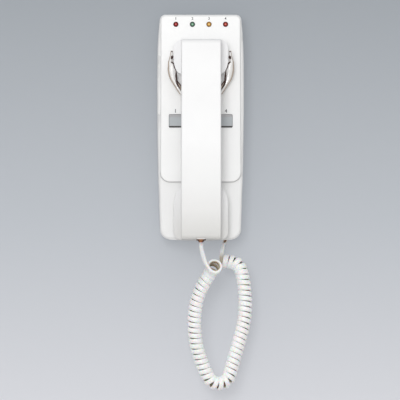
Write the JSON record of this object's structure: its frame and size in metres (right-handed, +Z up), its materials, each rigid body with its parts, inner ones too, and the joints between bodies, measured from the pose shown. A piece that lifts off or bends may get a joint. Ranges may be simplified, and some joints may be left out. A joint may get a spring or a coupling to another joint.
{
  "type": "wall intercom",
  "caption": "Wall intercom: bowed handset hung on a plated fork in front of a raised panel with call buttons and signal lamps, joined to the case by a curly cord.",
  "frame": {"origin": "middle of the case's outline on the back plate's rear face, where it lies against the wall", "axes": "+Y into the wall, +Z up along the case, +X to the right seen from the front"},
  "size_m": [0.0932, 0.065, 0.3677],
  "materials": {
    "case_white": "satin",
    "panel_white": "satin",
    "handset_white": "satin",
    "fork_plating": "polished",
    "button_grey": "satin",
    "lamp_red": "clear",
    "lamp_green": "clear",
    "lamp_amber": "clear",
    "board_green": "satin",
    "inner_black": "satin",
    "inner_white": "satin",
    "inner_rubber": "matte",
    "plain_steel": "bright",
    "terminal_brass": "bright",
    "boot_brown": "matte",
    "cord_white": "satin"
  },
  "bodies": {
    "base": {"back_plate": "case_white", "front_case": "case_white", "front_panel": "panel_white", "case_screws": "plain_steel", "circuit_board": "board_green", "board_screws": "plain_steel", "led_1": "lamp_red", "led_2": "lamp_green", "led_3": "lamp_amber", "led_4": "lamp_red", "led_leads": "plain_steel", "call_switches": "inner_black", "hook_pin": "plain_steel", "hook_switch": "inner_black", "hook_spring": "plain_steel", "buzzer": "inner_black", "terminal_block": "inner_black", "terminal_screws": "terminal_brass", "base_boot": "boot_brown", "cord_coil": "cord_white", "cord_handset_lead": "cord_white", "cord_base_lead": "cord_white"},
    "hook": {"hook_lever": "inner_white", "hook_fork": "fork_plating"},
    "button_1": {"call_button_1": "button_grey"},
    "button_2": {"call_button_2": "button_grey"},
    "button_3": {"call_button_3": "button_grey"},
    "button_4": {"call_button_4": "button_grey"},
    "handset": {"handset_front_shell": "handset_white", "handset_rear_shell": "handset_white", "handset_screws": "plain_steel", "receiver_ring": "inner_rubber", "receiver_capsule": "inner_black", "microphone_boot": "inner_rubber", "microphone_capsule": "inner_black", "handset_boot": "boot_brown"}
  },
  "joints": [
    {"name": "handset_lift", "type": "slide", "parent": "base", "child": "handset", "axis": [0, -0.8192, 0.5736], "range_m": [0, 0.04], "deforming": ["cord_handset_lead"]},
    {"name": "hook_pivot", "type": "hinge", "parent": "base", "child": "hook", "pos_m": [0, -0.024, 0.025], "axis": [1, 0, 0], "range_deg": [-8.1, 0], "deforming": ["hook_spring"]},
    {"name": "button_1_press", "type": "slide", "parent": "base", "child": "button_1", "axis": [0, 1, 0], "range_m": [0, 0.002], "stiffness_N_per_m": 400},
    {"name": "button_2_press", "type": "slide", "parent": "base", "child": "button_2", "axis": [0, 1, 0], "range_m": [0, 0.002], "stiffness_N_per_m": 400},
    {"name": "button_3_press", "type": "slide", "parent": "base", "child": "button_3", "axis": [0, 1, 0], "range_m": [0, 0.002], "stiffness_N_per_m": 400},
    {"name": "button_4_press", "type": "slide", "parent": "base", "child": "button_4", "axis": [0, 1, 0], "range_m": [0, 0.002], "stiffness_N_per_m": 400}
  ],
  "couplings": [
    {"joint": "hook_pivot", "follows": "handset_lift", "rad_per_m": -3.5}
  ]
}
